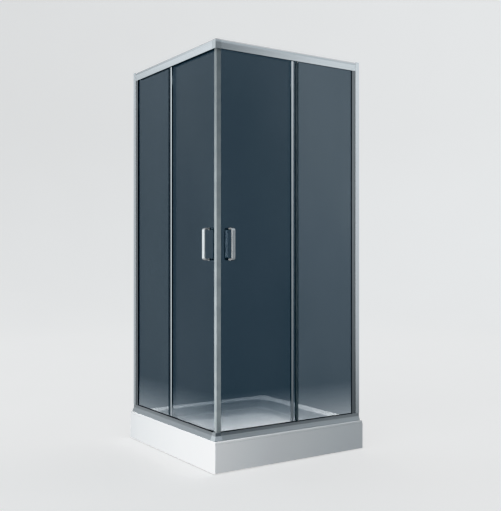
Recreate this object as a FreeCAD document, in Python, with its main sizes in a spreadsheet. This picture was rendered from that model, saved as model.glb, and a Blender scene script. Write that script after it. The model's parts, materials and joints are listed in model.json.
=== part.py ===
import FreeCAD, Part
import Sketcher
import math
import os

# Corner-entry shower enclosure on a square tray with apron panels.
# Two glazed sides meet at the front corner. Each side has one fixed pane next to
# the wall and one sliding door that runs towards the wall. The two wall sides
# are open.
#
# Directions used below, in millimetres:
#   u  along a glazed side, 0 at the tray's front corner, 900 at the wall
#   v  inwards from that side's outer tray edge
#   z  up from the floor
# The right side runs along X (u = x, v = y), and the left side is its mirror in
# the upright plane x = y. Every piece is then shifted by half a tray, so that the
# origin is on the floor under the middle of the tray.

doc = FreeCAD.newDocument("shower_enclosure")
sheet = doc.addObject("Spreadsheet::Sheet", "Sizes")
Vec = FreeCAD.Vector

VALUES = {}
SIZES = [
    # tray
    ("tray_side", 900.0, "side of the square tray"),
    ("tray_top", 150.0, "top of the tray rim above the floor"),
    ("lip_drop", 12.0, "depth of the tray's outer lip"),
    ("lip_wall", 5.0, "thickness of the lip and of the rim deck"),
    ("rim_width", 82.0, "width of the rim deck"),
    ("basin_deep", 42.0, "basin depth under the rim"),
    ("basin_floor", 5.0, "thickness of the basin floor"),
    ("basin_slope", 42.0, "slope of the basin walls from upright, degrees"),
    ("basin_round", 110.0, "corner radius of the basin"),
    ("apron_wall", 5.0, "thickness of the apron panels"),
    ("apron_foot", 5.0, "gap between apron and floor"),
    ("board_thick", 12.0, "base board under the basin"),
    ("waste_at", 225.0, "waste centre from both front edges"),
    ("waste_hole", 45.0, "radius of the waste hole"),
    ("pad_round", 27.0, "radius of a foot pad"),
    # frame
    ("frame_forward", 12.0, "frame stands this far in front of the tray's wall edges"),
    ("frame_in", 27.0, "outer face of the rails"),
    ("frame_top", 2014.0, "top of the frame above the floor"),
    ("top_rail_tall", 46.0, "height of the top rail"),
    ("low_rail_tall", 37.5, "height of the bottom rail"),
    ("skirt_run", 9.0, "how far the bottom rail's skirt runs out"),
    ("rail_wall", 2.4, "wall of the rails"),
    ("rail_back", 70.0, "inner face of the rails"),
    ("rail_start", 59.0, "rails begin this far from the front corner"),
    ("wall_profile_wide", 25.0, "visible width of a wall profile"),
    ("side_profile_wide", 22.0, "visible width of a side profile"),
    # glass
    ("glass_thick", 5.0, "toughened glass"),
    ("fixed_plane", 34.0, "outer face of the fixed panes"),
    ("fixed_edge", 468.5, "free edge of a fixed pane"),
    ("fixed_back", 882.0, "wall edge of a fixed pane"),
    ("door_plane", 45.0, "outer face of the door panes"),
    ("door_edge", 62.0, "front edge of a door pane"),
    ("door_back", 512.0, "rear edge of a door pane"),
    ("door_foot", 158.0, "lower edge of a door pane"),
    ("door_head", 2008.5, "upper edge of a door pane"),
    # running gear
    ("roller_front", 105.0, "front roller"),
    ("roller_rear", 470.0, "rear roller"),
    ("wheel_top", 11.5, "running radius of an upper wheel"),
    ("wheel_low", 8.0, "running radius of a lower wheel"),
    ("flange_high", 1.5, "height of a wheel flange"),
    ("track_mid", 60.0, "middle of the track rib"),
    ("axle_round", 3.0, "radius of an upper axle"),
    ("low_axle_round", 2.5, "radius of a lower axle"),
    ("run_gap", 0.3, "gap between a wheel and its track"),
    ("pin_gap", 0.06, "radial running clearance of a wheel on its axle"),
    # handles
    ("handle_at", 117.0, "handle from the front corner"),
    ("handle_mid", 1062.0, "height of the handle's middle"),
    ("handle_span", 145.0, "hole spacing of the handle"),
    ("handle_bar", 8.0, "thickness of the handle bar"),
    ("handle_wide", 18.0, "width of the handle bar"),
    ("handle_out", 33.0, "reach of the handle from the glass"),
]
for row, (name, value, note) in enumerate(SIZES, start=1):
    sheet.set("A%d" % row, note)
    sheet.set("B%d" % row, "%g" % value)
    sheet.setAlias("B%d" % row, name)
    VALUES[name] = value
doc.recompute()


class Dim:
    """A length with its number now and the formula that keeps it bound to the sheet."""

    def __init__(self, value, text):
        self.value = float(value)
        self.text = text

    def __add__(self, other):
        o = dim(other)
        return Dim(self.value + o.value, "(%s + %s)" % (self.text, o.text))

    def __radd__(self, other):
        return dim(other) + self

    def __sub__(self, other):
        o = dim(other)
        return Dim(self.value - o.value, "(%s - %s)" % (self.text, o.text))

    def __rsub__(self, other):
        return dim(other) - self

    def __mul__(self, other):
        o = dim(other)
        return Dim(self.value * o.value, "(%s * %s)" % (self.text, o.text))

    def __rmul__(self, other):
        return dim(other) * self

    def __truediv__(self, other):
        o = dim(other)
        return Dim(self.value / o.value, "(%s / %s)" % (self.text, o.text))


def dim(x):
    if isinstance(x, Dim):
        return x
    return Dim(x, "%.6g" % x if x >= 0 else "(0 - %.6g)" % -x)


def size(name):
    return Dim(VALUES[name], "Sizes." + name)


def bind(obj, prop, d):
    obj.setExpression(prop, dim(d).text)


side = size("tray_side")
half = side / 2
top = size("tray_top")
fin = size("frame_in")
ftop = size("frame_top")
rw = size("rail_wall")
back = size("rail_back")
start = size("rail_start")
glass = size("glass_thick")
fixp = size("fixed_plane")
fixe = size("fixed_edge")
fixb = size("fixed_back")
doorp = size("door_plane")
doore = size("door_edge")
doorb = size("door_back")
doorf = size("door_foot")
doorh = size("door_head")
rail_low = ftop - size("top_rail_tall")      # lower edge of the top rail
sill_top = top + size("low_rail_tall")       # upper edge of the bottom rail
mid = size("track_mid")
wall_in = side - size("wall_profile_wide")   # front edge of a wall profile


# ---------------------------------------------------------------- helpers
home = half     # distance from the corner of the piece being drawn to the tray's middle


def shift(obj):
    """Moves a body from the corner-based directions to the tray's middle."""
    obj.Placement = FreeCAD.Placement(
        Vec(-home.value, -home.value, 0), FreeCAD.Rotation()
    )
    obj.setExpression("Placement.Base.x", "0 - " + home.text)
    obj.setExpression("Placement.Base.y", "0 - " + home.text)


def new_body(label):
    b = doc.addObject("PartDesign::Body", label)
    b.Label = label
    shift(b)
    return b


def new_sketch(b, name, role, loops, lift=0, across=0, along=0):
    """A sketch on one of the body's origin planes, moved along the plane's normal by
    lift and within it by across and along. Each loop is a list of corners, or
    ("circle", x, y, radius)."""
    s = b.newObject("Sketcher::SketchObject", name)
    plane = [f for f in b.Origin.OriginFeatures if f.Role == role][0]
    s.AttachmentSupport = [(plane, "")]
    s.MapMode = "FlatFace"
    a, c, d = dim(across), dim(along), dim(lift)
    s.AttachmentOffset = FreeCAD.Placement(
        Vec(a.value, c.value, d.value), FreeCAD.Rotation()
    )
    bind(s, "AttachmentOffset.Base.x", a)
    bind(s, "AttachmentOffset.Base.y", c)
    bind(s, "AttachmentOffset.Base.z", d)

    def fix(kind, geo, point, d):
        d = dim(d)
        if abs(d.value) < 1e-9:
            s.addConstraint(
                Sketcher.Constraint(
                    "PointOnObject", geo, point, -2 if kind == "DistanceX" else -1
                )
            )
            return
        n = s.addConstraint(Sketcher.Constraint(kind, -1, 1, geo, point, d.value))
        s.setExpression("Constraints[%d]" % n, d.text)

    for loop in loops:
        if loop[0] == "circle":
            x, y, r = (dim(t) for t in loop[1:])
            g = s.addGeometry(
                Part.Circle(Vec(x.value, y.value, 0), Vec(0, 0, 1), r.value), False
            )
            fix("DistanceX", g, 3, x)
            fix("DistanceY", g, 3, y)
            n = s.addConstraint(Sketcher.Constraint("Radius", g, r.value))
            s.setExpression("Constraints[%d]" % n, r.text)
            continue
        pts = [(dim(x), dim(y)) for x, y in loop]
        ids = []
        for i, (x, y) in enumerate(pts):
            x2, y2 = pts[(i + 1) % len(pts)]
            ids.append(
                s.addGeometry(
                    Part.LineSegment(
                        Vec(x.value, y.value, 0), Vec(x2.value, y2.value, 0)
                    ),
                    False,
                )
            )
        for i, g in enumerate(ids):
            s.addConstraint(
                Sketcher.Constraint("Coincident", g, 2, ids[(i + 1) % len(ids)], 1)
            )
        for g, (x, y) in zip(ids, pts):
            fix("DistanceX", g, 1, x)
            fix("DistanceY", g, 1, y)
    return s


def rect(x0, x1, y0, y1):
    return [(x0, y0), (x1, y0), (x1, y1), (x0, y1)]


def pad(b, name, sk, length, down=False):
    p = b.newObject("PartDesign::Pad", name)
    p.Profile = sk
    p.Length = dim(length).value
    bind(p, "Length", length)
    p.Reversed = down
    sk.Visibility = False
    return p


def pocket(b, name, sk, length, up=False):
    """Cuts from the sketch against its normal, or along it with up, and checks that it
    took material away."""
    doc.recompute()
    before = b.Shape.Volume
    p = b.newObject("PartDesign::Pocket", name)
    p.Profile = sk
    p.Length = dim(length).value
    bind(p, "Length", length)
    p.Reversed = up
    sk.Visibility = False
    doc.recompute()
    if b.Shape.Volume > before - 1e-3:
        raise RuntimeError("%s in %s cuts nothing" % (name, b.Label))
    return p


def edges_of(shape, test):
    return ["Edge%d" % i for i, e in enumerate(shape.Edges, start=1) if test(e)]


def round_edges(b, name, radius, test):
    doc.recompute()
    names = edges_of(b.Tip.Shape, test)
    if not names:
        raise RuntimeError("%s in %s finds no edge" % (name, b.Label))
    f = b.newObject("PartDesign::Fillet", name)
    f.Base = (b.Tip if b.Tip is not f else f.BaseFeature, names)
    f.Radius = dim(radius).value
    bind(f, "Radius", radius)
    doc.recompute()
    if "Invalid" in f.State or f.Shape.isNull() or not f.Shape.isValid():
        raise RuntimeError("%s in %s can't be rounded" % (name, b.Label))
    return f


def upright(e):
    d = e.Vertexes[-1].Point - e.Vertexes[0].Point
    return len(e.Vertexes) == 2 and abs(d.x) < 1e-6 and abs(d.y) < 1e-6


def at_level(e, z, tol=1e-4):
    bb = e.BoundBox
    return abs(bb.ZMin - z) < tol and abs(bb.ZMax - z) < tol


def extrusion(label, role, loops, begin, length):
    b = new_body(label)
    pad(b, "Pad", new_sketch(b, "Outline", role, loops, lift=begin), length)
    return b


count = [0]


def part_name(kind):
    count[0] += 1
    return "%s_%03d" % (kind, count[0])


def place(obj, x, y, z, rotation=None):
    obj.Placement = FreeCAD.Placement(
        Vec(dim(x).value - home.value, dim(y).value - home.value, dim(z).value),
        rotation or FreeCAD.Rotation(),
    )
    bind(obj, "Placement.Base.x", dim(x) - home)
    bind(obj, "Placement.Base.y", dim(y) - home)
    bind(obj, "Placement.Base.z", z)


def box(x0, x1, y0, y1, z0, z1):
    o = doc.addObject("Part::Box", part_name("Block"))
    for prop, lo, hi in (("Length", x0, x1), ("Width", y0, y1), ("Height", z0, z1)):
        d = dim(hi) - dim(lo)
        setattr(o, prop, d.value)
        bind(o, prop, d)
    place(o, x0, y0, z0)
    return o


TURN = {
    "x": FreeCAD.Rotation(Vec(0, 1, 0), 90),
    "y": FreeCAD.Rotation(Vec(1, 0, 0), -90),
    "z": FreeCAD.Rotation(),
}


def rod(axis, x, y, z, radius, length):
    o = doc.addObject("Part::Cylinder", part_name("Rod"))
    o.Radius = dim(radius).value
    o.Height = dim(length).value
    bind(o, "Radius", radius)
    bind(o, "Height", length)
    place(o, x, y, z, TURN[axis])
    return o


def hexagon(x, y, z, across_flats, length):
    o = doc.addObject("Part::Prism", part_name("Hex"))
    o.Polygon = 6
    r = dim(across_flats) / math.sqrt(3.0)
    o.Circumradius = r.value
    o.Height = dim(length).value
    bind(o, "Circumradius", r)
    bind(o, "Height", length)
    place(o, x, y, z)
    return o


def fuse(*shapes):
    o = doc.addObject("Part::MultiFuse", part_name("Join"))
    o.Shapes = list(shapes)
    o.Refine = True
    return o


def cut(base, tool):
    o = doc.addObject("Part::Cut", part_name("Cut"))
    o.Base = base
    o.Tool = tool
    return o


def common(a, b):
    o = doc.addObject("Part::Common", part_name("Common"))
    o.Base = a
    o.Tool = b
    return o


def group(*shapes):
    o = doc.addObject("Part::Compound", part_name("Group"))
    o.Links = list(shapes)
    return o


def mirrored(obj):
    """The same piece for the left side: x and y change places."""
    o = doc.addObject("Part::Mirroring", part_name("Mirror"))
    o.Source = obj
    o.Base = Vec(0, 0, 0)
    o.Normal = Vec(1, -1, 0)
    return o


NODES = {}


def node(name, obj):
    obj.Label = name
    NODES[name] = obj
    return obj


def both(name, obj):
    """Names a piece of the right side and its mirror on the left side."""
    node(name + "_right", obj)
    node(name + "_left", mirrored(obj))


def slope_run(depth):
    """How far a basin wall runs inwards over a depth."""
    return depth * Dim(
        math.tan(math.radians(VALUES["basin_slope"])), "tan(Sizes.basin_slope * 1 deg)"
    )


def rounded_square(b, name, inset, radius, z):
    """A square with rounded corners, inset from the tray's outline."""
    s = b.newObject("Sketcher::SketchObject", name)
    plane = [f for f in b.Origin.OriginFeatures if f.Role == "XY_Plane"][0]
    s.AttachmentSupport = [(plane, "")]
    s.MapMode = "FlatFace"
    s.AttachmentOffset = FreeCAD.Placement(Vec(0, 0, dim(z).value), FreeCAD.Rotation())
    bind(s, "AttachmentOffset.Base.z", z)
    a, r = dim(inset).value, dim(radius).value
    c = side.value - a
    straight = [
        ((a + r, a), (c - r, a)), ((c, a + r), (c, c - r)),
        ((c - r, c), (a + r, c)), ((a, c - r), (a, a + r)),
    ]
    middles = [(c - r, a + r), (c - r, c - r), (a + r, c - r), (a + r, a + r)]
    lines, arcs = [], []
    for k in range(4):
        (x0, y0), (x1, y1) = straight[k]
        lines.append(s.addGeometry(Part.LineSegment(Vec(x0, y0, 0), Vec(x1, y1, 0)), False))
        x, y = middles[k]
        arcs.append(
            s.addGeometry(
                Part.ArcOfCircle(
                    Part.Circle(Vec(x, y, 0), Vec(0, 0, 1), r),
                    math.radians(-90 + 90 * k), math.radians(90 * k),
                ),
                False,
            )
        )
    for k in range(4):
        s.addConstraint(Sketcher.Constraint("Tangent", lines[k], 2, arcs[k], 1))
        s.addConstraint(Sketcher.Constraint("Tangent", arcs[k], 2, lines[(k + 1) % 4], 1))
        s.addConstraint(
            Sketcher.Constraint("Horizontal" if k % 2 == 0 else "Vertical", lines[k])
        )
    for k in (1, 2, 3):
        s.addConstraint(Sketcher.Constraint("Equal", arcs[0], arcs[k]))
    n = s.addConstraint(Sketcher.Constraint("Radius", arcs[0], r))
    bind(s, "Constraints[%d]" % n, radius)
    for kind, geo, d in (
        ("DistanceY", lines[0], dim(inset)), ("DistanceX", lines[1], side - inset),
        ("DistanceY", lines[2], side - inset), ("DistanceX", lines[3], dim(inset)),
    ):
        n = s.addConstraint(Sketcher.Constraint(kind, -1, 1, geo, 1, d.value))
        bind(s, "Constraints[%d]" % n, d)
    return s


def loft(b, name, kind, first, second):
    doc.recompute()
    before = b.Shape.Volume
    o = b.newObject(kind, name)
    o.Profile = first
    o.Sections = [second]
    o.Ruled = True
    first.Visibility = second.Visibility = False
    doc.recompute()
    change = b.Shape.Volume - before
    if (change > 0) != (kind == "PartDesign::AdditiveLoft"):
        raise RuntimeError("%s changes the volume the wrong way" % name)
    return o


# ---------------------------------------------------------------- tray
lip = size("lip_drop")
lw = size("lip_wall")
rim = size("rim_width")
deep = size("basin_deep")
bfloor = size("basin_floor")
floor_top = top - deep
floor_low = floor_top - bfloor
wx = size("waste_at")

tray = new_body("tray_shell")
pad(
    tray, "Deck",
    new_sketch(tray, "DeckOutline", "XY_Plane", [rect(0, side, 0, side)], lift=top - lip),
    lip,
)
pocket(
    tray, "Underside",
    new_sketch(
        tray, "UndersideOutline", "XY_Plane", [rect(lw, side - lw, lw, side - lw)],
        lift=top - lip,
    ),
    lip - lw, up=True,
)
round_edges(tray, "OuterCorners", 6.0,
            lambda e: upright(e) and (e.BoundBox.XMin < 0.01 or e.BoundBox.XMax > side.value - 0.01)
            and (e.BoundBox.YMin < 0.01 or e.BoundBox.YMax > side.value - 0.01))
# The basin is drawn from a wide rounded square at the rim to a smaller one at the
# floor, once for the underside and once for the hollow.
run = slope_run(deep)
outer_top = rounded_square(tray, "BowlRim", rim - 2.5, size("basin_round") + 2.5, top - lw)
outer_low = rounded_square(
    tray, "BowlFoot", rim - 2.5 + slope_run(deep + bfloor - lw),
    size("basin_round") + 2.5 - slope_run(deep + bfloor - lw), floor_low,
)
loft(tray, "Bowl", "PartDesign::AdditiveLoft", outer_top, outer_low)
inner_top = rounded_square(tray, "BasinRim", rim, size("basin_round"), top)
inner_low = rounded_square(tray, "BasinFoot", rim + run, size("basin_round") - run, floor_top)
loft(tray, "Basin", "PartDesign::SubtractiveLoft", inner_top, inner_low)
round_edges(tray, "FloorRound", 22.0,
            lambda e: at_level(e, floor_top.value) and e.Length > 20)
round_edges(tray, "RimRound", 11.0,
            lambda e: at_level(e, top.value) and e.Length > 20
            and e.BoundBox.XMin > 40 and e.BoundBox.XMax < side.value - 40
            and e.BoundBox.YMin > 40 and e.BoundBox.YMax < side.value - 40)
round_edges(tray, "EdgeRound", 4.5,
            lambda e: at_level(e, top.value)
            and (e.BoundBox.XMin < 7 or e.BoundBox.XMax > side.value - 7
                 or e.BoundBox.YMin < 7 or e.BoundBox.YMax > side.value - 7))
pocket(
    tray, "WasteSeat",
    new_sketch(tray, "WasteSeatOutline", "XY_Plane", [("circle", wx, wx, 66.0)], lift=floor_top),
    2.0,
)
pocket(
    tray, "WasteHole",
    new_sketch(
        tray, "WasteHoleOutline", "XY_Plane", [("circle", wx, wx, size("waste_hole"))],
        lift=floor_top,
    ),
    deep,
)
node("tray_shell", tray)

# base board under the basin, cut away round the waste
board_top = floor_low
board_low = board_top - size("board_thick")
node(
    "tray_base_board",
    extrusion(
        "tray_base_board", "XY_Plane",
        [rect(102, side - 102, 102, side - 102), ("circle", wx, wx, 72.0)],
        board_low, size("board_thick"),
    ),
)

# five levelling legs: socket under the board, threaded stud, locknut and foot pad
LEGS = [(450, 450), (745, 745), (745, 160), (160, 745), (132, 132)]
sockets, studs, nuts, pads = [], [], [], []
stud_r = 5.0
for x, y in LEGS:
    sockets.append(
        cut(
            fuse(
                rod("z", x, y, board_low - 16, 14.0, 16.0),
                rod("z", x, y, board_low - 3, 24.0, 3.0),
            ),
            rod("z", x, y, board_low - 16, stud_r, 15.0),
        )
    )
    studs.append(rod("z", x, y, 8.0, stud_r, board_low - 9))
    nuts.append(
        cut(
            hexagon(x, y, board_low - 24, 17.0, 8.0),
            rod("z", x, y, board_low - 24, stud_r, 8.0),
        )
    )
    cone = doc.addObject("Part::Cone", part_name("Cone"))
    cone.Radius1 = VALUES["pad_round"]
    cone.Radius2 = 13.0
    cone.Height = 12.0
    bind(cone, "Radius1", size("pad_round"))
    place(cone, x, y, 4.0)
    pads.append(
        cut(
            fuse(rod("z", x, y, 0.0, size("pad_round"), 4.0), cone),
            rod("z", x, y, 8.0, stud_r, 8.0),
        )
    )
node("leg_sockets", group(*sockets))
node("leg_studs", group(*(studs + nuts)))
node("foot_pads", group(*pads))

# apron panels, mitred at the front corner and flush with the tray's lip
aw = size("apron_wall")
apron = extrusion(
    "apron_right", "XY_Plane",
    [[(6.0, 0), (side, 0), (side, aw), (aw, aw), (1.757, 1.757), (3.70, 0.457)]],
    size("apron_foot"), top - lip - size("apron_foot") - 0.6,
)
both("apron", apron)

# steel angles that hold the aprons to the board
angles = []
for u in (300.0, 640.0):
    angle = fuse(
        box(u - 15, u + 15, aw, 170, board_low - 2, board_low),
        box(u - 15, u + 15, aw, aw + 2, 40, board_low),
    )
    angles += [angle, mirrored(angle)]
node("apron_brackets", group(*angles))

# waste: flange through the floor, gasket and trap under it, lift-out insert and cap
seat = floor_top - 2
node(
    "waste_flange",
    cut(
        fuse(
            rod("z", wx, wx, seat, 62.0, 1.8),
            rod("z", wx, wx, 78.0, size("waste_hole") - 1.0, seat - 78 + 1.8),
        ),
        rod("z", wx, wx, 70.0, size("waste_hole") - 4.0, 60.0),
    ),
)
node(
    "waste_gasket",
    cut(
        rod("z", wx, wx, floor_low - 3, 63.0, 3.0),
        rod("z", wx, wx, floor_low - 3, size("waste_hole") - 0.5, 3.0),
    ),
)
trap_shell = fuse(
    rod("z", wx, wx, floor_low - 8, 64.0, 5.0),
    rod("z", wx, wx, 26.0, 54.0, floor_low - 8 - 26),
    rod("y", wx, wx + 40, 58.0, 24.0, 25.0),
    rod("y", wx, wx + 40, 58.0, 20.0, 85.0),
)
trap_hollow = fuse(
    rod("z", wx, wx, 29.0, 51.0, floor_low - 12 - 29),
    rod("z", wx, wx, 80.0, size("waste_hole") - 0.7, 40.0),
    rod("y", wx, wx + 40, 58.0, 17.5, 90.0),
)
node("waste_trap", cut(trap_shell, trap_hollow))
# The insert hangs by its collar in the flange. Its open lower end stands in the
# water below the outlet, which closes the drain against smells.
cup_r = size("waste_hole") - 4.4
node(
    "trap_insert",
    cut(
        fuse(
            rod("z", wx, wx, 34.0, cup_r, seat + 3.2 - 34),
            rod("z", wx, wx, seat + 1.8, cup_r + 4, 1.4),
        ),
        rod("z", wx, wx, 30.0, cup_r - 2.2, 90.0),
    ),
)
# The chrome cap stands on a cross that plugs into the insert, so that water runs in
# under the cap's edge.
cup_top = seat + 3.2
cover_z = cup_top + 3.4
cover_r = size("waste_hole") + 12
dome = doc.addObject("Part::Cone", part_name("Cone"))
dome.Radius1 = cover_r.value
dome.Radius2 = cover_r.value - 8.0
dome.Height = 3.0
place(dome, wx, wx, cover_z + 2.4)
bind(dome, "Radius1", cover_r)
bind(dome, "Radius2", cover_r - 8)
plug = cup_r - 2.2 - 0.5
foot = cup_r + 3
cover = fuse(
    rod("z", wx, wx, cover_z, cover_r, 2.4),
    dome,
    box(wx - foot, wx + foot, wx - 1, wx + 1, cup_top + 0.1, cover_z),
    box(wx - 1, wx + 1, wx - foot, wx + foot, cup_top + 0.1, cover_z),
    box(wx - plug, wx + plug, wx - 1, wx + 1, cup_top - 15, cup_top + 0.1),
    box(wx - 1, wx + 1, wx - plug, wx + plug, cup_top - 15, cup_top + 0.1),
)
node("drain_cover", cover)

# ---------------------------------------------------------------- rails
# The frame and the doors stand a little in front of the tray's wall edges, so their own
# corner is set forward by as much.
home = half + size("frame_forward")

# The top rail leans back slightly over its upper part and has a bevel along its top edge.
# Its rear wall carries a ledge with the rib that the upper wheels run on.
ledge = rail_low + 10
rib_top = ledge + rw + 2
web = ftop - rw
slot_rib = fixp + glass + 1.2           # rib behind the fixed pane
top_rail = extrusion(
    "top_rail_right", "YZ_Plane",
    [[
        (fin, rail_low), (fin + rw, rail_low), (fin + rw, ftop - 16.2),
        (fin + rw + 1, ftop - 8.5), (fin + rw + 5, web),
        (slot_rib, web), (slot_rib, web - 14), (slot_rib + 1.6, web - 14), (slot_rib + 1.6, web),
        (back - rw, web), (back - rw, ledge + rw),
        (mid + 1, ledge + rw), (mid + 1, rib_top), (mid - 1, rib_top), (mid - 1, ledge + rw),
        (mid - 6, ledge + rw), (mid - 6, ledge), (back, ledge), (back, ftop),
        (fin + 6, ftop), (fin + 1.2, ftop - 7), (fin, ftop - 16),
    ]],
    start, wall_in - start,
)
pocket(
    top_rail, "CornerRoom",
    new_sketch(
        top_rail, "CornerRoomOutline", "XY_Plane",
        [rect(start - 1, start + 12.5, doorp + 5, back + 1)], lift=ftop + 1,
    ),
    size("top_rail_tall") + 10,
)
screw_u = start + 13.0
screw_v = fin + rw + 7.2
pocket(
    top_rail, "ScrewHole",
    new_sketch(top_rail, "ScrewHoleOutline", "XY_Plane",
               [("circle", screw_u, screw_v, 2.1)], lift=ftop + 1),
    rw + 3,
)
pocket(
    top_rail, "ScrewSink",
    new_sketch(top_rail, "ScrewSinkOutline", "XY_Plane",
               [("circle", screw_u, screw_v, 3.5)], lift=ftop + 1),
    2.4,
)
both("top_rail", top_rail)

# The bottom rail has an upright face above a skirt that runs out over the tray rim.
low_rib = top + rw + 4.6
skirt = size("skirt_run")
low_rail = extrusion(
    "bottom_rail_right", "YZ_Plane",
    [[
        (fin - skirt, top), (fin - skirt, top + 1.5), (fin, top + 22), (fin, sill_top),
        (fin + rw, sill_top), (fin + rw, top + rw), (slot_rib, top + rw),
        (slot_rib, top + 16), (slot_rib + 1.6, top + 16), (slot_rib + 1.6, top + rw),
        (mid - 1, top + rw), (mid - 1, low_rib), (mid + 1, low_rib), (mid + 1, top + rw),
        (back - rw, top + rw), (back - rw, top + 20), (back, top + 20), (back, top),
    ]],
    start, side - start,
)
pocket(
    low_rail, "CornerRoom",
    new_sketch(
        low_rail, "CornerRoomOutline", "XY_Plane",
        [rect(start - 1, start + 12.5, doorp + 5, back + 1)], lift=top + 40,
    ),
    41.0,
)
both("bottom_rail", low_rail)


# Corner joints: mitred covers over the rail ends with a tongue into each rail
def corner_joint(label, outline, tongue):
    arm = extrusion(label + "_arm", "YZ_Plane", [outline], 5.0, start - 5)
    keep = extrusion(
        label + "_half", "XY_Plane",
        [[(0, 0), (200, 0), (200, 200)]], 0, ftop + 10,
    )
    right = fuse(common(arm, keep), tongue)
    return right


# a plate that closes the square between the cut-back ends of the two rails
def corner_plate(z0, z1):
    return fuse(
        box(doorp + 4, start, doorp + 4, start, z0, z1),
        box(start - 2, start + 12.2, doorp + 5.3, back, z0, z1),
    )


proud = fin - 0.6
top_joint_arm = corner_joint(
    "top_corner",
    [
        (proud, rail_low - 0.6), (fin + rw + 0.4, rail_low - 0.6), (fin + rw + 0.4, ftop - 16.4),
        (fin + rw + 1.4, ftop - 8.9), (fin + rw + 5.4, web - 0.4), (doorp + 5, web - 0.4),
        (doorp + 5, ftop), (proud + 6, ftop), (proud + 1.2, ftop - 7), (proud, ftop - 16),
    ],
    cut(
        box(40.5, start + 26, fin + rw + 0.4, slot_rib - 0.4, ledge, ftop - 16.8),
        rod("z", screw_u, screw_v, ledge - 1, 1.9, 40.0),
    ),
)
top_joint_arm = fuse(top_joint_arm, corner_plate(web - 0.4, ftop))
node("top_corner_joint", fuse(top_joint_arm, mirrored(top_joint_arm)))
low_joint_arm = corner_joint(
    "bottom_corner",
    [
        (proud - skirt, top), (proud - skirt, top + 1.7), (proud, top + 22.2), (proud, sill_top + 0.6),
        (fin + rw + 0.4, sill_top + 0.6), (fin + rw + 0.4, top + rw), (doorp + 5, top + rw),
        (doorp + 5, top),
    ],
    box(40.5, start + 26, fin + rw + 0.4, slot_rib - 0.4, top + rw + 0.4, top + 15),
)
low_joint_arm = fuse(low_joint_arm, corner_plate(top, top + rw))
node("bottom_corner_joint", fuse(low_joint_arm, mirrored(low_joint_arm)))
# each screw has a cross recess in its head
screw = cut(
    fuse(
        rod("z", screw_u, screw_v, ftop - 1.4, 3.4, 1.4),
        rod("z", screw_u, screw_v, ledge + 3, 1.9, web - ledge - 2),
    ),
    fuse(
        box(screw_u - 2, screw_u + 2, screw_v - 0.45, screw_v + 0.45, ftop - 0.9, ftop + 1),
        box(screw_u - 0.45, screw_u + 0.45, screw_v - 2, screw_v + 2, ftop - 0.9, ftop + 1),
    ),
)

# ---------------------------------------------------------------- wall profiles
wp = size("wall_profile_wide")
pf = fin - 2                            # front face of the wall profile
pb = fin + 21.2                         # rear face of the wall profile
wall_profile = extrusion(
    "wall_profile_right", "XY_Plane",
    [[
        (wall_in, pf), (side, pf), (side, pb), (wall_in, pb), (wall_in, pb - 2.2),
        (side - 2.4, pb - 2.2), (side - 2.4, pf + 2.2), (wall_in, pf + 2.2),
    ]],
    sill_top + 0.2, ftop - sill_top - 0.2,
)
round_edges(
    wall_profile, "FrontRound", 2.0,
    lambda e: upright(e) and abs(e.BoundBox.YMin - pf.value) < 0.01
    and abs(e.BoundBox.XMin - wall_in.value) < 0.01,
)
fix_v = (pf + pb) / 2
pocket(
    wall_profile, "WallHoles",
    new_sketch(
        wall_profile, "WallHolesOutline", "YZ_Plane",
        [("circle", fix_v, z, 3.25) for z in (340.0, 840.0, 1340.0, 1840.0)], lift=side + 1,
    ),
    5.0,
)
SIDE_SCREWS = (380.0, 1080.0, 1780.0)
screw_at = side - 11.5
# screw holes in the inner flange, cut as rods along v
holes_outer = [rod("y", screw_at, pb - 5, z, 1.75, 8.0) for z in SIDE_SCREWS]
both("wall_profile", cut(wall_profile, fuse(*holes_outer)))

sf = pf + 2.8                           # side profile nests in the wall profile
sb = pb - 2.8
si = wall_in - size("side_profile_wide")
si_in = wall_in + 1                     # its inner flange is the short one
side_profile = extrusion(
    "side_profile_right", "XY_Plane",
    [[
        (si, sf), (side - 7, sf), (side - 7, sf + 2), (side - 14, sf + 2),
        (side - 14, sb - 2), (side - 7, sb - 2), (side - 7, sb), (si_in, sb), (si_in, sb - 2),
        (side - 16, sb - 2), (side - 16, sf + 2), (si, sf + 2),
    ]],
    sill_top + 0.4, rail_low - sill_top - 0.8,
)
holes_inner = [rod("y", screw_at, sb - 4, z, 1.6, 6.0) for z in SIDE_SCREWS]
side_profile = cut(side_profile, fuse(*holes_inner))
node("side_profiles", group(side_profile, mirrored(side_profile)))
side_screws = [
    cut(
        fuse(
            rod("y", screw_at, pb, z, 3.6, 2.0),
            rod("y", screw_at, sb - 5, z, 1.6, pb - sb + 6),
        ),
        fuse(
            box(screw_at - 2, screw_at + 2, pb + 0.9, pb + 3, z - 0.45, z + 0.45),
            box(screw_at - 0.45, screw_at + 0.45, pb + 0.9, pb + 3, z - 2, z + 2),
        ),
    )
    for z in SIDE_SCREWS
]
node(
    "frame_screws",
    group(screw, mirrored(screw), *(side_screws + [mirrored(s) for s in side_screws])),
)

# ---------------------------------------------------------------- fixed panes
fixed = extrusion(
    "fixed_glass_right", "YZ_Plane",
    [rect(fixp, fixp + glass, top + rw + 0.6, web - 4.6)], fixe, fixb - fixe,
)
round_edges(fixed, "Arris", 0.5, lambda e: upright(e) and abs(e.BoundBox.XMin - fixe.value) < 0.01)
both("fixed_glass", fixed)
trim = extrusion(
    "fixed_edge_trim_right", "XY_Plane",
    [[
        (fixe - 2.5, fixp - 1.6), (fixe + 10, fixp - 1.6), (fixe + 10, fixp), (fixe, fixp),
        (fixe, fixp + glass), (fixe + 10, fixp + glass), (fixe + 10, fixp + glass + 1.6),
        (fixe - 2.5, fixp + glass + 1.6),
    ]],
    sill_top + 4, rail_low - sill_top - 6,
)
node("fixed_edge_trims", group(trim, mirrored(trim)))
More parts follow.
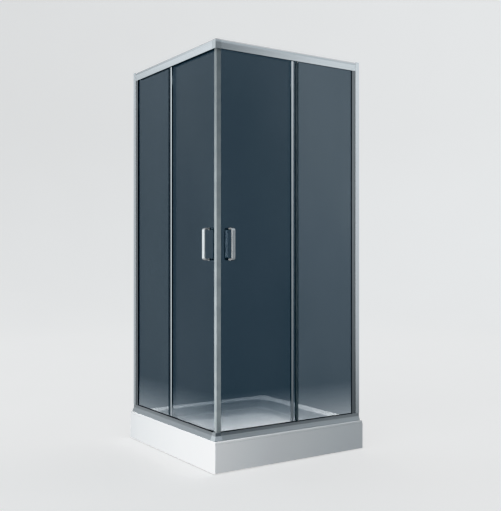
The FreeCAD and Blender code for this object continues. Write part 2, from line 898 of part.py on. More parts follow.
# upright gaskets in the side profiles, and a black strip along each rail's opening that
# seals the fixed pane and hides the gap in front of the door
gasket_lo, gasket_hi = sill_top + 0.4, rail_low - 0.4
gaskets = [
    box(si - 1, side - 18, sf + 2, fixp, gasket_lo, gasket_hi),
    box(si_in - 1, side - 18, fixp + glass, sb - 2, gasket_lo, gasket_hi),
    box(start + 0.5, si - 2, fin + rw, fixp, sill_top - 8, sill_top + 3.5),
    box(start + 0.5, si - 2, fin + rw, fixp, rail_low + 0.5, rail_low + 8),
]
node("glazing_gaskets", group(*(gaskets + [mirrored(g) for g in gaskets])))

# rubber stops on the ledge of the top rail, one each side of the two wheels
travel = 335.0
wheel_reach = size("wheel_top") + size("flange_high")
stop_rear = size("roller_rear") + travel + wheel_reach + 2
stop_front = size("roller_front") - wheel_reach - 2
stops = [
    box(stop_rear, stop_rear + 18, mid - 4, back - rw, rib_top, rib_top + 22),
    box(stop_front - 16, stop_front, mid - 4, back - rw, rib_top, rib_top + 22),
]
node("door_stops", group(*(stops + [mirrored(s) for s in stops])))

# ---------------------------------------------------------------- doors
axle_z = rib_top + size("wheel_top") + size("run_gap")
low_axle_z = low_rib + size("wheel_low") + size("run_gap")
rf, rr = size("roller_front"), size("roller_rear")
bolt_z = top + 22.0
bolt_off = 20.0
hx = size("handle_at")
hz = size("handle_mid")
hs = size("handle_span") / 2
inner = doorp + glass

pane = extrusion(
    "door_glass_right", "YZ_Plane", [rect(doorp, inner, doorf, doorh)], doore, doorb - doore,
)
holes = [rod("y", u, doorp - 1, axle_z, 5.0, glass + 2) for u in (rf, rr)]
holes += [rod("y", hx, doorp - 1, hz + s, 5.0, glass + 2) for s in (hs, 0 - hs)]
holes += [
    rod("y", u + s, doorp - 1, bolt_z, 3.5, glass + 2)
    for u in (rf, rr) for s in (bolt_off, -bolt_off)
]
both("door_glass", cut(pane, fuse(*holes)))

# magnetic seal: clips on the pane's front edge, its nose ends on the mitre; like the pane
# it reaches into both rails, so that no gap is left at its ends
seal_out, seal_in = doorp - 1.6, inner + 1.6
mag = (52.6, 56.6, doorp + 0.6, inner - 0.6)
seal = extrusion(
    "magnetic_seal_right", "XY_Plane",
    [
        [
            (seal_out + 0.5, seal_out), (doore + 4, seal_out), (doore + 4, doorp),
            (doore, doorp), (doore, inner), (doore + 4, inner), (doore + 4, seal_in),
            (seal_in + 0.5, seal_in),
        ],
        rect(*mag),
    ],
    sill_top - 10, rail_low - sill_top + 18,
)
both("magnetic_seal", seal)
both(
    "magnet_strip",
    extrusion("magnet_strip_right", "XY_Plane", [rect(*mag)], sill_top + 4,
              rail_low - sill_top - 8),
)
# rear seal: clips on the pane's rear edge, its fin stands behind the fixed pane
rear_seal = extrusion(
    "rear_seal_right", "XY_Plane",
    [[
        (doorb - 10, doorp - 1.4), (doorb + 1.2, doorp - 1.4), (doorb + 1.2, fixp + glass + 0.5),
        (doorb + 2.6, fixp + glass + 0.5), (doorb + 2.6, inner + 1.4), (doorb - 10, inner + 1.4),
        (doorb - 10, inner), (doorb, inner), (doorb, doorp), (doorb - 10, doorp),
    ]],
    sill_top + 1, rail_low - sill_top - 2,
)
both("rear_seal", rear_seal)


# handles: a bent flat bar on each face of the pane, drawn to each other by studs
def handle(label, face, out):
    """A bent bar with its feet on the face at v = face, reaching to v = out."""
    hb = size("handle_bar")
    grip = out + hb if out.value < face.value else out - hb
    lo, hi = hz - hs - hb / 2, hz + hs + hb / 2
    b = extrusion(
        label, "YZ_Plane",
        [[
            (face, lo), (out, lo), (out, hi), (face, hi),
            (face, hi - hb), (grip, hi - hb), (grip, lo + hb), (face, lo + hb),
        ]],
        hx - size("handle_wide") / 2, size("handle_wide"),
    )

    def along_x(e, y, z):
        bb = e.BoundBox
        return (
            bb.XLength > 5 and bb.YLength < 1e-4 and bb.ZLength < 1e-4
            and abs(bb.YMin - y.value) < 0.01 and abs(bb.ZMin - z.value) < 0.01
        )

    round_edges(b, "OuterBends", 13.0, lambda e: along_x(e, out, lo) or along_x(e, out, hi))
    round_edges(b, "InnerBends", 5.0,
                lambda e: along_x(e, grip, lo + hb) or along_x(e, grip, hi - hb))
    round_edges(
        b, "Arris", 1.8,
        lambda e: e.BoundBox.XLength < 1e-4
        and abs(e.CenterOfMass.y - face.value) > 0.5,
    )
    return b


outer_bar = handle("handle_outer_bar", doorp - 0.5, doorp - size("handle_out"))
inner_bar = handle("handle_inner_bar", inner + 0.5, inner + size("handle_out"))
stud_len = 34.0
stud_from = doorp + glass / 2 - stud_len / 2
stud_holes = [rod("y", hx, stud_from, hz + s, 2.5, stud_len) for s in (hs, 0 - hs)]
both("handle_outer", cut(outer_bar, fuse(*stud_holes)))
stud_holes = [rod("y", hx, stud_from, hz + s, 2.5, stud_len) for s in (hs, 0 - hs)]
both("handle_inner", cut(inner_bar, fuse(*stud_holes)))

# plastic bushes that keep metal off the glass
bushes = [
    cut(
        fuse(
            rod("y", hx, doorp, hz + s, 5.0, glass),
            rod("y", hx, doorp - 0.5, hz + s, 6.5, 0.5),
            rod("y", hx, inner, hz + s, 6.5, 0.5),
        ),
        rod("y", hx, doorp - 1, hz + s, 2.5, glass + 2),
    )
    for s in (hs, 0 - hs)
] + [
    cut(
        rod("y", u, doorp, axle_z, 5.0, glass),
        rod("y", u, doorp - 1, axle_z, size("axle_round"), glass + 2),
    )
    for u in (rf, rr)
]
both("glass_bushes", group(*bushes))

# upper hangers: the axle bolt goes through the pane and carries the wheel inside
def cross_recess(u, z, reach):
    """A cross cut into the outer face of a bolt head on the pane."""
    return fuse(
        box(u - reach, u + reach, doorp - 3.6, doorp - 1.6, z - 0.5, z + 0.5),
        box(u - 0.5, u + 0.5, doorp - 3.6, doorp - 1.6, z - reach, z + reach),
    )


hangers = [
    cut(
        fuse(
            rod("y", u, doorp - 2.6, axle_z, 6.0, 2.6),
            rod("y", u, doorp - 2.6, axle_z, size("axle_round"), mid + 6 - doorp + 2.6),
            rod("y", u, inner, axle_z, 6.5, mid - 4.4 - inner),
            rod("y", u, mid + 4.6, axle_z, 4.5, 1.4),
        ),
        cross_recess(u, axle_z, 3.2),
    )
    for u in (rf, rr)
]
both("hanger_bolts", group(*hangers))

# lower brackets: a plate on the inside of the pane with two upright guides
brackets, bolts = [], []
guide_out = 13.6
guide_in = 11.0
carry_v0 = inner + 2.8
carry_v1 = inner + 7.0
for u in (rf, rr):
    plate = fuse(
        box(u - 26, u + 26, inner, inner + 2.4, top + 11, top + 35.2),
        box(u - guide_out, u - guide_in, inner + 2.4, carry_v1, top + 13, top + 35.2),
        box(u + guide_in, u + guide_out, inner + 2.4, carry_v1, top + 13, top + 35.2),
        box(u - guide_out, u + guide_out, inner + 2.4, carry_v1, top + 33, top + 35.2),
    )
    brackets.append(
        cut(
            plate,
            fuse(*[rod("y", u + s, inner - 1, bolt_z, 2.5, 5.0) for s in (bolt_off, -bolt_off)]),
        )
    )
    for s in (bolt_off, -bolt_off):
        bolts.append(
            cut(
                fuse(
                    rod("y", u + s, doorp - 2.6, bolt_z, 5.5, 2.6),
                    rod("y", u + s, doorp, bolt_z, 2.5, glass + 2.4),
                    rod("y", u + s, inner + 2.4, bolt_z, 4.5, 2.6),
                ),
                cross_recess(u + s, bolt_z, 3.0),
            )
        )
both("roller_brackets", group(*brackets))
studs_h = [rod("y", hx, stud_from, hz + s, 2.5, stud_len) for s in (hs, 0 - hs)]
both("door_bolts", group(*(bolts + studs_h)))


# running wheels: grooved, two flanges either side of the rib
def wheel(label, u, z, run, flange, width, bore):
    """A wheel whose axle lies along v at (u, z)."""
    b = new_body(label)
    g = 1.3
    w = dim(width) / 2
    outline = [
        (bore, mid - w), (run + flange - 0.6, mid - w), (run + flange, mid - w + 0.6),
        (run + flange, mid - g - 0.3), (run, mid - g), (run, mid + g),
        (run + flange, mid + g + 0.3), (run + flange, mid + w - 0.6),
        (run + flange - 0.6, mid + w), (bore, mid + w),
    ]
    s = new_sketch(b, "HalfSection", "XY_Plane", [outline], lift=z, across=u)
    r = b.newObject("PartDesign::Revolution", "Turned")
    r.Profile = s
    r.ReferenceAxis = (s, ["V_Axis"])
    r.Angle = 360.0
    s.Visibility = False
    return b


pin = size("pin_gap")
for place_name, u in (("front", rf), ("rear", rr)):
    w1 = wheel("top_wheel_%s_r" % place_name, u, axle_z, size("wheel_top"), size("flange_high"),
               8.0, size("axle_round") + pin)
    both("top_wheel_" + place_name, w1)
    w2 = wheel("low_wheel_%s_r" % place_name, u, low_axle_z, size("wheel_low"),
               size("flange_high"), 5.0, size("low_axle_round") + pin)
    both("bottom_wheel_" + place_name, w2)
    # release carriage: slides upwards between the guides and takes its wheel off the rib
    carriage = fuse(
        box(u - guide_in + 0.4, u + guide_in - 0.4, carry_v0, carry_v1, top + 11.5, top + 28.6),
        rod("y", u, carry_v1, low_axle_z, 4.0, mid - 2.9 - carry_v1),
        rod("y", u, carry_v1, low_axle_z, size("low_axle_round"), mid + 2.8 - carry_v1),
        rod("y", u, mid + 2.8, low_axle_z, 3.6, 1.2),
        box(u - 8, u + 8, carry_v1, mid + 7, top + 25.4, top + 28.6),
    )
    both("release_carriage_" + place_name, carriage)

# ---------------------------------------------------------------- checks and files
doc.recompute()
bad = [o.Label for o in doc.Objects if "Invalid" in o.State or "Error" in o.State]
if bad:
    raise RuntimeError("failed objects: %s" % ", ".join(bad))
for name, obj in NODES.items():
    shape = obj.Shape
    if shape.isNull() or not shape.isValid() or not shape.Solids:
        raise RuntimeError("bad shape: " + name)
os.makedirs("parts", exist_ok=True)
total = None
for name, obj in NODES.items():
    obj.Shape.exportStep("parts/%s.step" % name)
    bb = obj.Shape.BoundBox
    total = bb if total is None else total.united(bb)
    print("%-26s %2d solids %9.0f mm3" % (name, len(obj.Shape.Solids), obj.Shape.Volume))
print(len(NODES), "nodes; box", total)
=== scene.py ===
import json
import math

import bpy
import bmesh
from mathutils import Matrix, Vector


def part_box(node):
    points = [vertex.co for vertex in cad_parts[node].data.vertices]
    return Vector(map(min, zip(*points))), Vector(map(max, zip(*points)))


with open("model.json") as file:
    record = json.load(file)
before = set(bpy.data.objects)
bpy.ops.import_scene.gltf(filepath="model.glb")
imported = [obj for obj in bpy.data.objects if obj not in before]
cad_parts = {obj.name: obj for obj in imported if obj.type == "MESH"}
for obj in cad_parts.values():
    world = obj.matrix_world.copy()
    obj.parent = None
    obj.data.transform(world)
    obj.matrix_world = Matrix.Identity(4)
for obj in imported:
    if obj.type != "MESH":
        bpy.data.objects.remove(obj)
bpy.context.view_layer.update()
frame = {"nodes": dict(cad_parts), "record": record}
NODES = frame["nodes"]
scene = bpy.context.scene
SIDES = ("right", "left")


# ------------------------------------------------------------------ camera
cam_data = bpy.data.cameras.new("camera")
cam = bpy.data.objects.new("camera", cam_data)
scene.collection.objects.link(cam)
cam.location = (-2.330, -3.580, 1.0083)
cam.rotation_euler = (math.radians(90.0), 0.0, math.radians(-33.590))
cam_data.lens = 56.016
cam_data.sensor_width = 36.0
cam_data.clip_end = 100.0
scene.camera = cam
scene.view_settings.view_transform = "Khronos PBR Neutral"


# ------------------------------------------------------------------ node helpers
class Tree:
    """A small wrapper that makes and links shader nodes."""

    def __init__(self, name):
        self.mat = bpy.data.materials.new(name)
        self.mat.use_nodes = True
        self.nt = self.mat.node_tree
        self.nt.nodes.clear()
        self.out = self.nt.nodes.new("ShaderNodeOutputMaterial")

    def node(self, kind, **inputs):
        n = self.nt.nodes.new(kind)
        for key, value in inputs.items():
            if key in n.inputs:
                n.inputs[key].default_value = value
            else:
                setattr(n, key, value)
        return n

    def link(self, a, b):
        self.nt.links.new(a, b)

    def coords(self, scale=(1.0, 1.0, 1.0)):
        t = self.node("ShaderNodeTexCoord")
        m = self.node("ShaderNodeMapping")
        m.inputs["Scale"].default_value = scale
        self.link(t.outputs["Object"], m.inputs["Vector"])
        return m.outputs["Vector"]

    def noise(self, scale, detail=3.0, rough=0.5, stretch=(1.0, 1.0, 1.0)):
        n = self.node("ShaderNodeTexNoise", Scale=scale, Detail=detail, Roughness=rough)
        self.link(self.coords(stretch), n.inputs["Vector"])
        return n.outputs["Fac"]

    def ramp(self, fac, stops):
        r = self.node("ShaderNodeValToRGB")
        el = r.color_ramp.elements
        while len(el) < len(stops):
            el.new(0.5)
        for e, (pos, col) in zip(el, stops):
            e.position = pos
            e.color = (*col, 1.0)
        self.link(fac, r.inputs["Fac"])
        return r.outputs["Color"]

    def span(self, fac, lo, hi, fmin=0.3, fmax=0.7):
        m = self.node("ShaderNodeMapRange")
        m.inputs["From Min"].default_value = fmin
        m.inputs["From Max"].default_value = fmax
        m.inputs["To Min"].default_value = lo
        m.inputs["To Max"].default_value = hi
        self.link(fac, m.inputs["Value"])
        return m.outputs["Result"]

    def bump(self, height, strength, distance):
        b = self.node("ShaderNodeBump")
        b.inputs["Strength"].default_value = strength
        b.inputs["Distance"].default_value = distance
        self.link(height, b.inputs["Height"])
        return b.outputs["Normal"]

    def math(self, op, a, b=None):
        m = self.node("ShaderNodeMath")
        m.operation = op
        for i, x in enumerate((a, b)):
            if x is None:
                continue
            if isinstance(x, (int, float)):
                m.inputs[i].default_value = x
            else:
                self.link(x, m.inputs[i])
        return m.outputs[0]


def solid(name, dark, light, rough, tone=(4.0, 3.0), tone_stretch=(1, 1, 1), rough_scale=60.0,
          rough_stretch=(1, 1, 1), grain=None, metallic=0.0, spec=0.5, coat=0.0, coat_rough=0.05, ior=1.5):
    """An opaque surface: a tone that wanders between two colours, a roughness that wanders
    between two values, and a fine grain (scale, stretch, strength, depth)."""
    t = Tree(name)
    p = t.node("ShaderNodeBsdfPrincipled")
    p.inputs["Metallic"].default_value = metallic
    p.inputs["Specular IOR Level"].default_value = spec
    p.inputs["Coat Weight"].default_value = coat
    p.inputs["Coat Roughness"].default_value = coat_rough
    p.inputs["IOR"].default_value = ior
    t.link(t.ramp(t.noise(tone[0], tone[1], stretch=tone_stretch), [(0.3, dark), (0.7, light)]), p.inputs["Base Color"])
    t.link(t.span(t.noise(rough_scale, 4.0, stretch=rough_stretch), *rough), p.inputs["Roughness"])
    if grain:
        scale, stretch, strength, depth = grain
        t.link(t.bump(t.noise(scale, 2.0, stretch=stretch), strength, depth), p.inputs["Normal"])
    t.link(p.outputs["BSDF"], t.out.inputs["Surface"])
    return t.mat


def along(axis, length_scale, cross_scale):
    """Texture scales that draw a pattern out along one axis."""
    s = [cross_scale] * 3
    s["xyz".index(axis)] = length_scale
    return tuple(s)


# ------------------------------------------------------------------ materials
MAT = {}
MAT["white_acrylic"] = solid(
    "white_acrylic", (0.80, 0.81, 0.82), (0.84, 0.846, 0.85), (0.14, 0.22), tone=(3.0, 4.0), rough_scale=45.0,
    grain=(420.0, (1, 1, 1), 0.03, 0.0006), coat=0.3, coat_rough=0.06)
MAT["white_apron"] = solid(
    "white_apron", (0.79, 0.80, 0.812), (0.83, 0.838, 0.845), (0.16, 0.25), tone=(2.5, 4.0), rough_scale=35.0,
    grain=(300.0, (1, 1, 1), 0.04, 0.0007), coat=0.2, coat_rough=0.10)
for ax in "xyz":
    MAT["bright_rail_" + ax] = solid(
        "bright_rail_" + ax, (0.72, 0.73, 0.74), (0.80, 0.81, 0.82), (0.10, 0.20), tone=(1.0, 5.0),
        tone_stretch=along(ax, 1.2, 90.0), rough_scale=1.0, rough_stretch=along(ax, 4.0, 700.0),
        grain=(1.0, along(ax, 3.0, 1500.0), 0.05, 0.0002), metallic=1.0)
# Bottom rails: a rougher satin copy of the rail metal, its darker colour painted shade.
for ax in "xy":
    MAT["satin_shaded_rail_" + ax] = solid(
        "satin_shaded_rail_" + ax, (0.51, 0.52, 0.53), (0.58, 0.59, 0.60), (0.34, 0.44), tone=(1.0, 5.0),
        tone_stretch=along(ax, 1.2, 90.0), rough_scale=1.0, rough_stretch=along(ax, 4.0, 700.0),
        grain=(1.0, along(ax, 3.0, 1500.0), 0.06, 0.0002), metallic=1.0)
MAT["grey_profile"] = solid(
    "grey_profile", (0.30, 0.305, 0.31), (0.36, 0.365, 0.37), (0.26, 0.40), tone=(1.0, 5.0),
    tone_stretch=along("z", 1.2, 90.0), rough_scale=1.0, rough_stretch=along("z", 4.0, 700.0),
    grain=(1.0, along("z", 3.0, 1500.0), 0.08, 0.0002), metallic=1.0)
MAT["chrome_metal"] = solid(
    "chrome_metal", (0.80, 0.81, 0.82), (0.87, 0.88, 0.89), (0.035, 0.09), tone=(14.0, 3.0), rough_scale=120.0,
    grain=(900.0, (1, 1, 1), 0.015, 0.0002), metallic=1.0)
MAT["handle_chrome"] = solid(
    "handle_chrome", (0.80, 0.815, 0.825), (0.87, 0.885, 0.895), (0.08, 0.15), tone=(14.0, 3.0), rough_scale=120.0,
    grain=(900.0, (1, 1, 1), 0.015, 0.0002), metallic=0.76)
MAT["chrome_plastic"] = solid(
    "chrome_plastic", (0.62, 0.63, 0.64), (0.70, 0.71, 0.72), (0.12, 0.20), tone=(18.0, 3.0), rough_scale=150.0,
    grain=(700.0, (1, 1, 1), 0.03, 0.0003), metallic=1.0)
MAT["polished_steel"] = solid(
    "polished_steel", (0.60, 0.61, 0.62), (0.70, 0.705, 0.71), (0.14, 0.26), tone=(60.0, 3.0), rough_scale=400.0,
    grain=(1.0, (300.0, 300.0, 1800.0), 0.06, 0.0002), metallic=1.0)
MAT["zinc_steel"] = solid(
    "zinc_steel", (0.46, 0.475, 0.49), (0.62, 0.63, 0.63), (0.28, 0.45), tone=(90.0, 5.0), rough_scale=220.0,
    grain=(260.0, (1, 1, 1), 0.08, 0.0004), metallic=1.0)
MAT["black_plastic"] = solid(
    "black_plastic", (0.018, 0.018, 0.02), (0.035, 0.035, 0.038), (0.42, 0.60), tone=(30.0, 4.0), rough_scale=260.0,
    grain=(900.0, (1, 1, 1), 0.18, 0.0004))
MAT["grey_plastic"] = solid(
    "grey_plastic", (0.20, 0.205, 0.21), (0.26, 0.265, 0.27), (0.34, 0.48), tone=(40.0, 4.0), rough_scale=300.0,
    grain=(900.0, (1, 1, 1), 0.10, 0.0003))
MAT["white_plastic"] = solid(
    "white_plastic", (0.66, 0.66, 0.645), (0.74, 0.74, 0.725), (0.30, 0.42), tone=(20.0, 4.0), rough_scale=160.0,
    grain=(700.0, (1, 1, 1), 0.08, 0.0003))
MAT["white_wheel"] = solid(
    "white_wheel", (0.68, 0.685, 0.68), (0.76, 0.765, 0.76), (0.22, 0.36), tone=(70.0, 3.0), rough_scale=500.0,
    grain=(1200.0, (1, 1, 1), 0.06, 0.0002))
MAT["black_rubber"] = solid(
    "black_rubber", (0.012, 0.012, 0.013), (0.028, 0.028, 0.03), (0.62, 0.82), tone=(50.0, 4.0), rough_scale=320.0,
    grain=(1100.0, (1, 1, 1), 0.22, 0.0004))
MAT["magnet"] = solid(
    "magnet", (0.03, 0.03, 0.033), (0.055, 0.055, 0.058), (0.50, 0.66), tone=(40.0, 4.0), rough_scale=300.0,
    grain=(800.0, (1, 1, 1), 0.12, 0.0003))


def board():
    """Pressed board: pale and dark chips in a brown ground."""
    t = Tree("base_board")
    p = t.node("ShaderNodeBsdfPrincipled")
    v = t.node("ShaderNodeTexVoronoi", Scale=220.0)
    t.link(t.coords((1.0, 1.0, 2.5)), v.inputs["Vector"])
    chips = t.ramp(v.outputs["Distance"], [(0.0, (0.23, 0.15, 0.085)), (0.35, (0.42, 0.30, 0.18)), (0.75, (0.55, 0.42, 0.28))])
    wide = t.ramp(t.noise(9.0, 5.0), [(0.3, (0.78, 0.74, 0.70)), (0.7, (1.0, 0.98, 0.95))])
    mix = t.node("ShaderNodeMix", data_type="RGBA", blend_type="MULTIPLY")
    mix.inputs["Factor"].default_value = 1.0
    t.link(chips, mix.inputs["A"])
    t.link(wide, mix.inputs["B"])
    t.link(mix.outputs["Result"], p.inputs["Base Color"])
    t.link(t.span(t.noise(180.0, 3.0), 0.55, 0.78), p.inputs["Roughness"])
    t.link(t.bump(v.outputs["Distance"], 0.2, 0.0006), p.inputs["Normal"])
    t.link(p.outputs["BSDF"], t.out.inputs["Surface"])
    return t.mat


MAT["base_board"] = board()


def glass(name, axis, tint, depth, clear_to=None, painted_light_foot=0.48):
    """Toughened tinted glass. Faces across the axis are the polished faces of the pane, and
    the others are its ground edges. Each face passes the square root of the pane's tint, and
    less at a slant, where the way through the pane is longer. The tint is deepest near the
    middle: it is painted a little deeper low down and lighter up high, a painted reflection
    gradient, and painted much lighter along the bottom, painted light that stands in for the lit
    tray behind it. The strip of a fixed pane that always has the door behind it is clear."""
    t = Tree(name)
    wave = t.noise(1.0, 2.0, stretch=(2.2, 2.2, 1.1))
    clear = t.node("ShaderNodeBsdfTransparent")
    facing = t.node("ShaderNodeLayerWeight", Blend=0.5)
    c = t.math("SUBTRACT", 1.0, facing.outputs["Facing"])
    s2 = t.math("SUBTRACT", 1.0, t.math("MULTIPLY", c, c))
    way = t.math("DIVIDE", 0.5, t.math("SQRT", t.math("SUBTRACT", 1.0, t.math("DIVIDE", s2, 2.25))))
    way = t.math("MULTIPLY", way, t.span(wave, 0.975 * depth, 1.025 * depth))
    u = t.node("ShaderNodeSeparateXYZ")
    t.link(t.coords(), u.inputs[0])
    # painted reflection gradient: the tint a little deeper low down and lighter up high
    way = t.math("MULTIPLY", way, t.span(u.outputs["Z"], 1.06, 0.94, 0.2, 1.95))
    # painted light: the tint much lighter along the bottom, standing in for the lit tray behind
    way = t.math("MULTIPLY", way, t.span(u.outputs["Z"], painted_light_foot, 1.0, 0.19, 0.36))
    if clear_to is not None:
        strip = t.math("LESS_THAN", u.outputs["yx".index(axis)], clear_to)
        way = t.math("MULTIPLY", way, t.math("SUBTRACT", 1.0, t.math("MULTIPLY", strip, 0.9)))
    rgb = t.node("ShaderNodeCombineColor")
    for i in range(3):
        t.link(t.math("POWER", tint[i], way), rgb.inputs[i])
    t.link(rgb.outputs["Color"], clear.inputs["Color"])
    gloss = t.node("ShaderNodeBsdfGlossy")
    gloss.inputs["Color"].default_value = (0.93, 0.96, 0.98, 1.0)
    t.link(t.span(t.noise(7.0, 3.0), 0.012, 0.045), gloss.inputs["Roughness"])
    ripple = t.bump(wave, 0.04, 0.004)
    t.link(ripple, gloss.inputs["Normal"])
    schlick = t.math("ADD", t.math("MULTIPLY", t.math("POWER", facing.outputs["Facing"], 5.0), 0.4), 0.026)
    face = t.node("ShaderNodeMixShader")
    t.link(schlick, face.inputs[0])
    t.link(clear.outputs["BSDF"], face.inputs[1])
    t.link(gloss.outputs["BSDF"], face.inputs[2])
    edge = t.node("ShaderNodeBsdfPrincipled")
    t.link(t.ramp(t.noise(60.0, 3.0), [(0.3, (0.030, 0.058, 0.060)), (0.7, (0.055, 0.095, 0.098))]), edge.inputs["Base Color"])
    t.link(t.span(t.noise(240.0, 3.0), 0.16, 0.32), edge.inputs["Roughness"])
    geo = t.node("ShaderNodeNewGeometry")
    sep = t.node("ShaderNodeSeparateXYZ")
    t.link(geo.outputs["True Normal"], sep.inputs[0])
    mask = t.math("GREATER_THAN", t.math("ABSOLUTE", sep.outputs["xyz".index(axis)]), 0.7)
    both = t.node("ShaderNodeMixShader")
    t.link(mask, both.inputs[0])
    t.link(edge.outputs["BSDF"], both.inputs[1])
    t.link(face.outputs["Shader"], both.inputs[2])
    t.link(both.outputs["Shader"], t.out.inputs["Surface"])
    return t.mat


TINT = (0.125, 0.155, 0.182)
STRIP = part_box("rear_seal_right")[1][0]
# The four panes are one glass; their different depths paint each pane's shade, deepest on the right door.
MAT["fixed_glass_right"] = glass("fixed_glass_right", "y", TINT, 0.93, STRIP - 0.005)
MAT["fixed_glass_left"] = glass("fixed_glass_left", "x", TINT, 0.96, STRIP - 0.020)
# the right door's bottom is painted lighter still
MAT["door_glass_right"] = glass("door_glass_right", "y", TINT, 1.16, painted_light_foot=0.42)
MAT["door_glass_left"] = glass("door_glass_left", "x", TINT, 1.02)


def vinyl(name, dark, light, body):
    """Clear soft vinyl: partly see-through, with a pale body between two strengths."""
    t = Tree(name)
    p = t.node("ShaderNodeBsdfPrincipled")
    t.link(t.ramp(t.noise(25.0, 3.0), [(0.3, dark), (0.7, light)]), p.inputs["Base Color"])
    t.link(t.span(t.noise(1.0, 3.0, stretch=(500.0, 500.0, 6.0)), 0.16, 0.30), p.inputs["Roughness"])
    t.link(t.bump(t.noise(1.0, 2.0, stretch=(900.0, 900.0, 4.0)), 0.05, 0.0003), p.inputs["Normal"])
    clear = t.node("ShaderNodeBsdfTransparent")
    clear.inputs["Color"].default_value = (0.93, 0.95, 0.96, 1.0)
    mix = t.node("ShaderNodeMixShader")
    t.link(t.span(t.noise(12.0, 2.0), *body), mix.inputs[0])
    t.link(clear.outputs["BSDF"], mix.inputs[1])
    t.link(p.outputs["BSDF"], mix.inputs[2])
    t.link(mix.outputs["Shader"], t.out.inputs["Surface"])
    return t.mat


MAT["clear_vinyl"] = vinyl("clear_vinyl", (0.29, 0.33, 0.345), (0.35, 0.39, 0.405), (0.82, 0.90))
# Rear seals: a paler copy of the clear vinyl, painted light for the seals behind the fixed panes.
MAT["painted_light_vinyl"] = vinyl("painted_light_vinyl", (0.38, 0.42, 0.43), (0.45, 0.49, 0.50), (0.84, 0.90))

RAIL_AXIS = {
    "top_rail_right": "x", "bottom_rail_right": "x", "top_rail_left": "y", "bottom_rail_left": "y",
    "wall_profile_right": "z", "wall_profile_left": "z", "fixed_edge_trims": "z",
}
SLOT = {s["node"]: s["material_slot"] for s in frame["record"]["subparts"]}
for name, obj in NODES.items():
    slot = SLOT[name]
    # bottom rails: the darker satin copy, painted shade
    if name.startswith("bottom_rail"):
        mat = MAT["satin_shaded_rail_" + RAIL_AXIS[name]]
    elif name.startswith("handle_"):
        mat = MAT["handle_chrome"]
    elif slot == "bright_rail":
        mat = MAT["bright_rail_" + RAIL_AXIS[name]]
    elif slot == "tinted_glass":
        mat = MAT[name]
    elif name.startswith("rear_seal"):
        # rear seals take the paler vinyl copy, painted light
        mat = MAT["painted_light_vinyl"]
    else:
        mat = MAT[slot]
    for s in obj.material_slots:
        s.material = mat


# ------------------------------------------------------------------ studio
def bowl():
    """A pale floor that turns up into a wall all round, so that no horizon shows."""
    bm = bmesh.new()
    prof = [(0.0, 0.0), (3.0, 0.0), (6.0, 0.0)]
    for k in range(1, 13):
        a = math.radians(90.0 * k / 12)
        prof.append((6.0 + 3.0 * math.sin(a), 3.0 - 3.0 * math.cos(a)))
    prof.append((9.0, 8.0))
    n = 96
    rings = []
    for r, z in prof:
        if r == 0.0:
            rings.append([bm.verts.new((0, 0, z))])
        else:
            rings.append([bm.verts.new((r * math.cos(2 * math.pi * i / n), r * math.sin(2 * math.pi * i / n), z)) for i in range(n)])
    for a, b in zip(rings, rings[1:]):
        for i in range(n):
            j = (i + 1) % n
            if len(a) == 1:
                bm.faces.new((a[0], b[i], b[j]))
            else:
                bm.faces.new((a[i], b[i], b[j], a[j]))
    me = bpy.data.meshes.new("studio_floor")
    bm.to_mesh(me)
    bm.free()
    for p in me.polygons:
        p.use_smooth = True
    o = bpy.data.objects.new("studio_floor", me)
    scene.collection.objects.link(o)
    t = Tree("studio_floor")
    d = t.node("ShaderNodeBsdfDiffuse")
    t.link(t.ramp(t.noise(1.5, 3.0), [(0.3, (0.60, 0.602, 0.605)), (0.7, (0.62, 0.622, 0.625))]), d.inputs["Color"])
    e = t.node("ShaderNodeEmission")
    e.inputs["Color"].default_value = (1.0, 0.985, 0.97, 1.0)
    e.inputs["Strength"].default_value = 0.58
    add = t.node("ShaderNodeAddShader")
    t.link(d.outputs["BSDF"], add.inputs[0])
    t.link(e.outputs["Emission"], add.inputs[1])
    t.link(add.outputs["Shader"], t.out.inputs["Surface"])
    me.materials.append(t.mat)
    o.visible_glossy = False
    o.visible_diffuse = False
    return o


bowl()


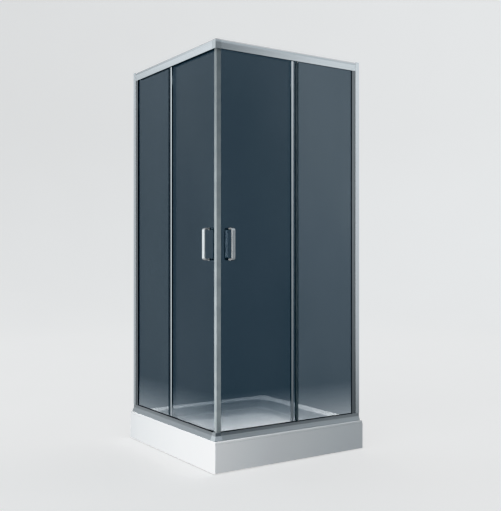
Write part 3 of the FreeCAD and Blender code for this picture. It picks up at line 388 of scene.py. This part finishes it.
def studio_world():
    """Soft surroundings for the reflections: a dim horizon at the front, a lighter ceiling, a
    bright wall behind on the left, a light panel at the front right, and a pale wall behind
    with a low panel that shows in the tray."""
    w = bpy.data.worlds.new("studio")
    scene.world = w
    w.use_nodes = True
    nt = w.node_tree
    nt.nodes.clear()
    out = nt.nodes.new("ShaderNodeOutputWorld")
    room = nt.nodes.new("ShaderNodeBackground")
    room.inputs["Color"].default_value = (0.86, 0.985, 1.07, 1.0)
    panels = nt.nodes.new("ShaderNodeBackground")
    panels.inputs["Color"].default_value = (0.93, 0.99, 1.02, 1.0)
    both = nt.nodes.new("ShaderNodeAddShader")
    nt.links.new(room.outputs["Background"], both.inputs[0])
    nt.links.new(panels.outputs["Background"], both.inputs[1])
    tc = nt.nodes.new("ShaderNodeTexCoord")
    sep = nt.nodes.new("ShaderNodeSeparateXYZ")
    nt.links.new(tc.outputs["Generated"], sep.inputs[0])

    def m(op, a, b=None, c=None):
        n = nt.nodes.new("ShaderNodeMath")
        n.operation = op
        for i, x in enumerate((a, b, c)):
            if x is None:
                continue
            if isinstance(x, (int, float)):
                n.inputs[i].default_value = x
            else:
                nt.links.new(x, n.inputs[i])
        return n.outputs[0]

    def step(x, lo, hi, out_lo=0.0, out_hi=1.0):
        n = nt.nodes.new("ShaderNodeMapRange")
        n.interpolation_type = "SMOOTHSTEP"
        n.inputs["From Min"].default_value = min(lo, hi)
        n.inputs["From Max"].default_value = max(lo, hi)
        n.inputs["To Min"].default_value = out_lo if lo < hi else out_hi
        n.inputs["To Max"].default_value = out_hi if lo < hi else out_lo
        nt.links.new(x, n.inputs["Value"])
        return n.outputs["Result"]

    el = m("MULTIPLY", m("ARCSINE", sep.outputs["Z"]), 180.0 / math.pi)
    az = m("MULTIPLY", m("ARCTAN2", sep.outputs["X"], sep.outputs["Y"]), 180.0 / math.pi)
    base = m("ADD", step(el, -4.0, -14.0, 0.0, -0.03), 0.20)
    base = m("ADD", base, step(el, 15.0, 30.0, 0.0, 0.20))
    base = m("MULTIPLY", base, step(el, 76.0, 60.0, 0.3, 1.0))
    left = m("MULTIPLY", step(az, -80.0, -62.0), step(az, -16.0, -29.0))
    height = m("ADD", step(el, -30.0, -4.0, 0.0, 0.56), step(el, 0.0, 14.0, 0.0, 0.18))
    left = m("MULTIPLY", m("MULTIPLY", left, height), step(el, 40.0, 26.0))
    right = m("MULTIPLY", step(m("SUBTRACT", az, m("MULTIPLY", el, 0.3)), 146.5, 136.0), step(az, 84.0, 100.0))
    right = m("MULTIPLY", m("MULTIPLY", right, step(el, -18.0, -6.0)), m("MULTIPLY", step(el, 34.0, 16.0), 0.70))
    side = m("MULTIPLY", step(az, -136.0, -120.0), step(az, -84.0, -96.0))
    side = m("MULTIPLY", m("MULTIPLY", side, step(el, -12.0, 0.0)), m("MULTIPLY", step(el, 46.0, 30.0), 1.5))
    wall = m("MULTIPLY", step(az, -10.0, 10.0), step(az, 112.0, 92.0))
    wall = m("MULTIPLY", m("MULTIPLY", wall, step(el, -24.0, -4.0)), m("MULTIPLY", step(el, 76.0, 56.0), 0.50))
    low = m("MULTIPLY", step(az, 10.0, 20.0), step(az, 58.0, 48.0))
    low = m("MULTIPLY", m("MULTIPLY", low, step(el, 1.0, 6.0)), m("MULTIPLY", step(el, 22.0, 15.0), 2.3))
    glow = nt.nodes.new("ShaderNodeBackground")
    glow.inputs["Color"].default_value = (1.0, 0.92, 0.86, 1.0)
    nt.links.new(m("ADD", wall, low), glow.inputs["Strength"])
    rest = nt.nodes.new("ShaderNodeAddShader")
    nt.links.new(both.outputs["Shader"], rest.inputs[0])
    nt.links.new(glow.outputs["Background"], rest.inputs[1])
    nt.links.new(rest.outputs["Shader"], out.inputs["Surface"])
    nt.links.new(base, room.inputs["Strength"])
    nt.links.new(m("ADD", left, m("ADD", right, side)), panels.inputs["Strength"])


studio_world()


def area(name, where, to, sx, sy, power, spread=180.0):
    l = bpy.data.lights.new(name, "AREA")
    l.shape = "RECTANGLE"
    l.size, l.size_y = sx, sy
    l.energy = power
    l.spread = math.radians(spread)
    o = bpy.data.objects.new(name, l)
    scene.collection.objects.link(o)
    o.location = where
    o.rotation_euler = (Vector(to) - Vector(where)).to_track_quat("-Z", "Y").to_euler()
    o.visible_glossy = False
    o.visible_camera = False
    return o


def only_on(light, names):
    """Keeps a light on the named nodes."""
    c = bpy.data.collections.new(light.name + "_on")
    for n in names:
        c.objects.link(NODES[n])
    light.light_linking.receiver_collection = c
    return c


key = area("key_left", (-2.0, -0.95, 0.75), (-0.45, -0.45, 0.3), 0.8, 0.8, 46.0)
key.data.color = (1.0, 0.97, 0.945)
only_on(key, NODES)
tray_light = area("tray_top", (0.05, 0.05, 3.8), (0.05, 0.05, 0.0), 0.6, 0.6, 160.0)
tray_light.data.color = (1.0, 0.95, 0.91)
only_on(tray_light, ("tray_shell", "waste_flange", "trap_insert", "drain_cover"))
glint = area("handle_glint", (1.24, -2.93, 1.06), (-0.345, -0.40, 1.06), 1.2, 1.2, 9.0)
glint.visible_glossy = True
glint.light_linking.blocker_collection = only_on(glint, ("handle_inner_right", "handle_inner_left"))
fill = area("handle_fill", (-2.4, -1.5, 1.25), (-0.42, -0.42, 1.06), 0.8, 0.8, 16.0)
fill.data.color = (0.90, 0.97, 1.0)
only_on(fill, ("handle_outer_right", "handle_outer_left"))
